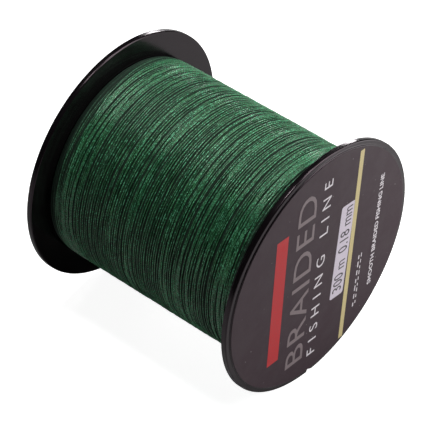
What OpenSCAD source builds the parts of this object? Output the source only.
// Fishing line spool: a moulded core and two snap-on flanges, wound with fine braided line.
// The spool lies on its rims with its axis along Y. The labelled front flange faces -Y, and
// the origin is on the axis, halfway between the flanges.

/* [Spool] */
// Length over both labels
spool_l = 62.2; // [50:0.1:80]
// Diameter of the flanges
flange_d = 65; // [62:0.5:80]
// Thickness of a flange at its rim
flange_t = 1.5; // [1.5:0.1:2.4]
// Radius on both edges of a flange's rim
rim_round_r = 0.35; // [0.2:0.05:0.7]

/* [Label] */
// Width of the bare rim around the raised face that carries a label
rim_w = 1.2; // [1:0.1:2]
// Height of the raised face above the rim, and the radius on its edge
face_raise = 0.25; // [0.1:0.05:0.5]
// Thickness of a label
label_t = 0.1; // [0.05:0.05:0.2]

/* [Line notch] */
// Width of the notch's sloped side, along the rim
notch_slope_w = 2.1; // [1:0.1:3]
// Width of the notch's steep side, along the rim
notch_steep_w = 0.25; // [0.1:0.05:0.5]
// Depth of the notch, from the rim to its point
notch_depth = 1.1; // [0.6:0.1:1.1]
// Angle of the notch's point from the lowest point of the rim
notch_angle = 5; // [0:0.5:8]

/* [Core] */
// Diameter of the barrel that the line is wound on
barrel_d = 50.8; // [49:0.2:51.4]
// Wall thickness of the barrel
barrel_wall = 1.8; // [1.6:0.1:2.4]
// Diameter of the spindle bore
bore_d = 10; // [8:0.5:12]
// Wall thickness of the hub tube around the bore
hub_wall = 1.5; // [1.2:0.1:2]
// Thickness of the webs between the hub tube and the barrel
web_t = 1.4; // [1:0.1:2]

/* [Line] */
// Diameter of the braided line
line_d = 0.18; // [0.1:0.01:0.28]
// Diameter over the finished winding
winding_d = 53; // [52.6:0.1:58]
// Thickness of the winding's outer layers
top_layer_t = 0.4; // [0.2:0.05:0.6]
// Width of the tape that holds the line's inner end
tape_w = 12; // [8:1:20]
// Angle that the tape covers around the barrel
tape_span = 55; // [30:5:90]

/* [Hidden] */
$fn = 144;

black = [0.06, 0.055, 0.06];
label_grey = [0.27, 0.245, 0.26];
line_green = [0.07, 0.30, 0.18];
tape_white = [0.85, 0.84, 0.80];

// Small overlap that joins solids of one moulding, or cuts clear of a face
bite = 0.3;
// Gap between two mouldings that slide together
fit_gap = 0.15;
// Gap between soft or thin pieces that lie against each other
soft_gap = 0.05;

flange_r = flange_d / 2;
face_r = flange_r - rim_w;
// A label stops this far inside the rounded edge of the face that carries it
label_margin = 0.05;
label_r = face_r - face_raise - label_margin;
core_l = spool_l - 2 * (flange_t + face_raise + label_t);
barrel_r = barrel_d / 2;
barrel_in_r = barrel_r - barrel_wall;
bore_r = bore_d / 2;
hub_r = bore_r + hub_wall;
// The holes at both ends are wider than the bore, so that they only lead a rod in
lead_in_gap = 0.3;
flange_hole_r = bore_r + lead_in_gap;
rear_label_hole_r = flange_hole_r + 0.5;

web_count = 4;
// The webs stop this far short of the core's ends, which leaves room for the flanges' spigots
web_inset = 6;
web_l = core_l - 2 * web_inset;

// Snap fit: hooks on each flange catch in a groove inside the barrel's end
spigot_r = barrel_in_r - fit_gap;
spigot_wall = 1.4;
spigot_h = 2;
hook_h = 4;
hook_span = 26;
// A hook is this much thinner than the spigot, on each side
hook_step = 0.1;
hook_count = 4;
barb_out = 0.35;
barb_h = 1;
groove_depth = 0.4;
groove_r = barrel_in_r + groove_depth;
groove_w = 1.4;
collar_in_r = hub_r + fit_gap;
collar_wall = 1.3;
collar_h = 2.5;

winding_r = winding_d / 2;
winding_l = core_l - 0.2;
pack_in_r = barrel_r + soft_gap;
pack_out_r = winding_r - top_layer_t - soft_gap;
top_in_r = winding_r - top_layer_t;
tape_t = 0.12;
tape_in_r = barrel_r + soft_gap;
tape_out_r = tape_in_r + tape_t;
// Distance from the winding's rear end to the tape's nearer edge
tape_inset = tape_w / 2;
tape_y = winding_l / 2 - tape_inset - tape_w;

// Route of the line's outer end: it leaves the winding, runs down the rear flange's inner
// face and turns through the rear notch, where it is cut off flush
line_end_route = [
    [16.1, 28.8, -21.25],
    [12.7, 28.82, -23.8],
    [9.4, 28.85, -26.3],
    [6.0, 28.88, -28.9],
    [3.4, 28.9, -30.85],
    [2.8, 28.95, -31.35],
    [2.65, 29.2, -31.5],
    [2.65, 29.6, -31.5],
    [2.65, 30.1, -31.5],
    [2.65, 30.6, -31.5]
];
line_sides = 8;

// Turns a shape drawn along Z so that its Z axis becomes the spool's Y axis
module along_y() {
    rotate([-90, 0, 0]) children();
}

module tube(outer_r, inner_r, length) {
    difference() {
        cylinder(r = outer_r, h = length, center = true);
        cylinder(r = inner_r, h = length + 2 * bite, center = true);
    }
}

// Turns a half section through an angle about Z, centred on the X axis
module turned(span) {
    rotate([0, 0, -span / 2]) rotate_extrude(angle = span) children();
}

// A ring segment from z = 0 to z = height
module ring_segment(outer_r, inner_r, height, span) {
    turned(span) translate([inner_r, 0]) square([outer_r - inner_r, height]);
}

module core() {
    groove_z = core_l / 2 - (hook_h - barb_h / 2);
    color(black) along_y() {
        difference() {
            tube(barrel_r, barrel_in_r, core_l);
            for (end = [-1, 1])
                translate([0, 0, end * groove_z])
                    cylinder(r = groove_r, h = groove_w, center = true);
        }
        tube(hub_r, bore_r, core_l);
        for (i = [0 : web_count - 1])
            rotate([0, 0, i * 360 / web_count])
                translate([hub_r - bite, -web_t / 2, -web_l / 2])
                    cube([barrel_in_r - hub_r + 2 * bite, web_t, web_l]);
    }
}

// Half section of the disc: a rim with both edges rounded, and a raised face inside it
// with one rounded edge
module disc_profile() {
    straight_r = flange_r - rim_round_r;
    flat_r = face_r - face_raise;
    square([straight_r, flange_t]);
    translate([0, rim_round_r]) square([flange_r, flange_t - 2 * rim_round_r]);
    for (edge = [rim_round_r, flange_t - rim_round_r])
        translate([straight_r, edge]) circle(r = rim_round_r);
    translate([0, -face_raise]) square([flat_r, face_raise + bite]);
    translate([flat_r, 0]) circle(r = face_raise);
}

// V-shaped notch in the rim with one steep side and one sloped side, cut through the disc
module notch_cut() {
    above_rim = flange_r + bite;
    translate([0, 0, -bite])
        linear_extrude(flange_t + 2 * bite)
            rotate(notch_angle)
                polygon([
                    [-notch_steep_w, above_rim],
                    [-notch_steep_w, flange_r],
                    [0, flange_r - notch_depth],
                    [notch_slope_w, flange_r],
                    [notch_slope_w, above_rim]
                ]);
}

// Each hook rises from the spigot and ends in a barb with a sloped lead-in
module snap_hooks() {
    out_r = spigot_r - hook_step;
    in_r = spigot_r - spigot_wall + hook_step;
    barb_r = spigot_r + barb_out;
    root_z = flange_t + spigot_h - bite;
    tip_z = flange_t + hook_h;
    barb_z = tip_z - barb_h;
    for (i = [0 : hook_count - 1])
        rotate([0, 0, 45 + i * 360 / hook_count])
            turned(hook_span)
                polygon([
                    [in_r, root_z],
                    [out_r, root_z],
                    [out_r, barb_z],
                    [barb_r, barb_z],
                    [barb_r, tip_z - barb_h / 2],
                    [out_r, tip_z],
                    [in_r, tip_z]
                ]);
}

// A flange as moulded: the rim's outer face at z = 0, spigot and hooks towards +Z
module flange() {
    difference() {
        union() {
            rotate_extrude() disc_profile();
            translate([0, 0, (flange_t + spigot_h) / 2 + bite])
                tube(spigot_r, spigot_r - spigot_wall, spigot_h + flange_t - 2 * bite);
            translate([0, 0, (flange_t + collar_h) / 2 + bite])
                tube(collar_in_r + collar_wall, collar_in_r, collar_h + flange_t - 2 * bite);
            snap_hooks();
        }
        translate([0, 0, -face_raise - bite])
            cylinder(r = flange_hole_r, h = flange_t + face_raise + 2 * bite);
        notch_cut();
    }
}

// The front flange's notch is at the bottom of the rim
module front_flange() {
    color(black) along_y() translate([0, 0, -core_l / 2 - flange_t]) flange();
}

// The rear flange is the same moulding, turned end for end
module rear_flange() {
    color(black) along_y()
        translate([0, 0, core_l / 2 + flange_t]) rotate([0, 180, 0]) flange();
}

// The front label is a closed disc, and covers the flange's middle hole
module front_label() {
    color(label_grey) along_y()
        translate([0, 0, -spool_l / 2])
            cylinder(r = label_r, h = label_t);
}

// The rear label is punched for the spindle
module rear_label() {
    color(label_grey) along_y()
        translate([0, 0, (spool_l - label_t) / 2])
            tube(label_r, rear_label_hole_r, label_t);
}

module line_start_tape() {
    color(tape_white) along_y()
        translate([0, 0, tape_y])
            ring_segment(tape_out_r, tape_in_r, tape_w, tape_span);
}

// The inner layers of wound line, with a pocket over the tape
module line_pack() {
    pocket_w = tape_w + 2 * soft_gap;
    color(line_green) along_y()
        difference() {
            tube(pack_out_r, pack_in_r, winding_l);
            translate([0, 0, tape_y - soft_gap])
                ring_segment(tape_out_r + soft_gap, barrel_r - bite, pocket_w, tape_span + 1);
        }
}

module line_top_layer() {
    color(line_green) along_y() tube(winding_r, top_in_r, winding_l);
}

function unit(v) = v / norm(v);

// Direction of the route at point i
function route_way(route, i) =
    unit(route[min(i + 1, len(route) - 1)] - route[max(i - 1, 0)]);

// One ring of the swept tube, square to the route at point i
function route_ring(route, i, radius, sides) =
    let (
        way = route_way(route, i),
        side = unit(cross(way, [0.36, 0.48, 0.8])),
        over = cross(side, way)
    )
    [for (k = [0 : sides - 1])
        route[i] + radius * (cos(360 * k / sides) * side + sin(360 * k / sides) * over)];

module swept_tube(route, diameter, sides) {
    rings = len(route);
    points = [for (i = [0 : rings - 1]) each route_ring(route, i, diameter / 2, sides)];
    walls = [
        for (i = [0 : rings - 2], k = [0 : sides - 1])
            let (here = i * sides, next = here + sides, k2 = (k + 1) % sides)
            [here + k, here + k2, next + k2, next + k]
    ];
    first_cap = [for (k = [sides - 1 : -1 : 0]) k];
    last_cap = [for (k = [0 : sides - 1]) (rings - 1) * sides + k];
    polyhedron(points, concat(walls, [first_cap, last_cap]), convexity = 4);
}

module line_end() {
    color(line_green) swept_tube(line_end_route, line_d, line_sides);
}

core();
front_flange();
rear_flange();
front_label();
rear_label();
line_start_tape();
line_pack();
line_top_layer();
line_end();
